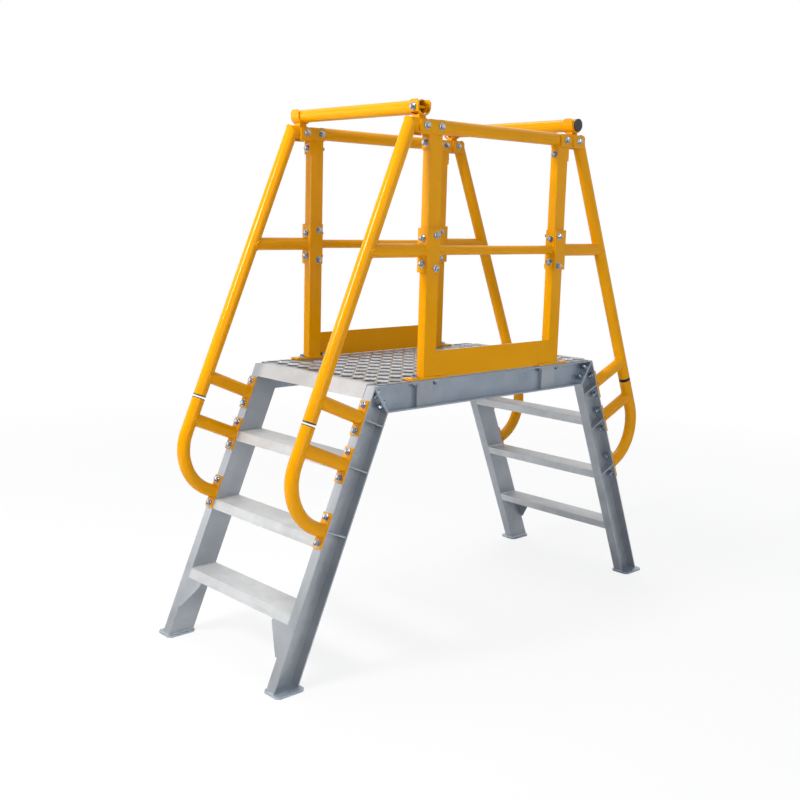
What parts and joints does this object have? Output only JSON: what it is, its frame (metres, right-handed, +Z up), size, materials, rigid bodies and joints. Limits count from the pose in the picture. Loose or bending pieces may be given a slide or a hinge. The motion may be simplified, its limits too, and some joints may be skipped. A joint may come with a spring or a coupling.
{
  "type": "crossover platform",
  "caption": "Aluminium crossover platform: two steep stairs joined by a grated deck, with yellow tube handrails, toe boards and a lift-up safety bar at each stair head.",
  "frame": {"origin": "on the floor, midway between the four foot plates", "axes": "+X along the walking direction, +Y across the walkway, +Z up"},
  "size_m": [2.0872, 0.754, 1.9682],
  "materials": {
    "mill_aluminium": "mill-finish extruded aluminium, dull",
    "tread_aluminium": "ribbed extruded aluminium, satin",
    "grating_aluminium": "pressed serrated aluminium sheet",
    "yellow_paint": "glossy safety-yellow powder coat",
    "black_plastic": "matt black moulded plastic"
  },
  "bodies": {
    "frame": {"stile_left_near": "mill_aluminium", "stile_left_far": "mill_aluminium", "stile_right_near": "mill_aluminium", "stile_right_far": "mill_aluminium", "foot_plates": "mill_aluminium", "tread_left_low": "tread_aluminium", "tread_left_mid": "tread_aluminium", "tread_left_high": "tread_aluminium", "tread_right_low": "tread_aluminium", "tread_right_mid": "tread_aluminium", "tread_right_high": "tread_aluminium", "tread_gussets": "mill_aluminium", "stile_ribs": "mill_aluminium", "side_channel_near": "mill_aluminium", "side_channel_far": "mill_aluminium", "post_packers": "mill_aluminium", "deck_bearers": "mill_aluminium", "nosing_left": "tread_aluminium", "nosing_right": "tread_aluminium", "deck_grating": "grating_aluminium", "post_left_near": "yellow_paint", "post_left_far": "yellow_paint", "post_right_near": "yellow_paint", "post_right_far": "yellow_paint", "toe_board_near": "yellow_paint", "toe_board_far": "yellow_paint", "top_rail_near": "yellow_paint", "top_rail_far": "yellow_paint", "mid_rails": "yellow_paint", "top_brackets": "yellow_paint", "handrail_left_near": "yellow_paint", "handrail_left_far": "yellow_paint", "handrail_right_near": "yellow_paint", "handrail_right_far": "yellow_paint", "loop_left_near": "yellow_paint", "loop_left_far": "yellow_paint", "loop_right_near": "yellow_paint", "loop_right_far": "yellow_paint", "rail_end_caps": "black_plastic", "bar_saddles_left": "yellow_paint", "bar_saddles_right": "yellow_paint"},
    "left_bar": {"safety_bar_left": "yellow_paint", "bar_end_cap_left": "black_plastic"},
    "right_bar": {"safety_bar_right": "yellow_paint", "bar_end_cap_right": "black_plastic"}
  },
  "joints": [
    {"name": "left_bar_lift", "type": "hinge", "parent": "frame", "child": "left_bar", "pos_m": [-0.42, -0.3255, 1.944], "axis": [1, 0, 0], "range_deg": [0, 90]},
    {"name": "right_bar_lift", "type": "hinge", "parent": "frame", "child": "right_bar", "pos_m": [0.42, 0.3255, 1.944], "axis": [-1, 0, 0], "range_deg": [0, 90]}
  ]
}
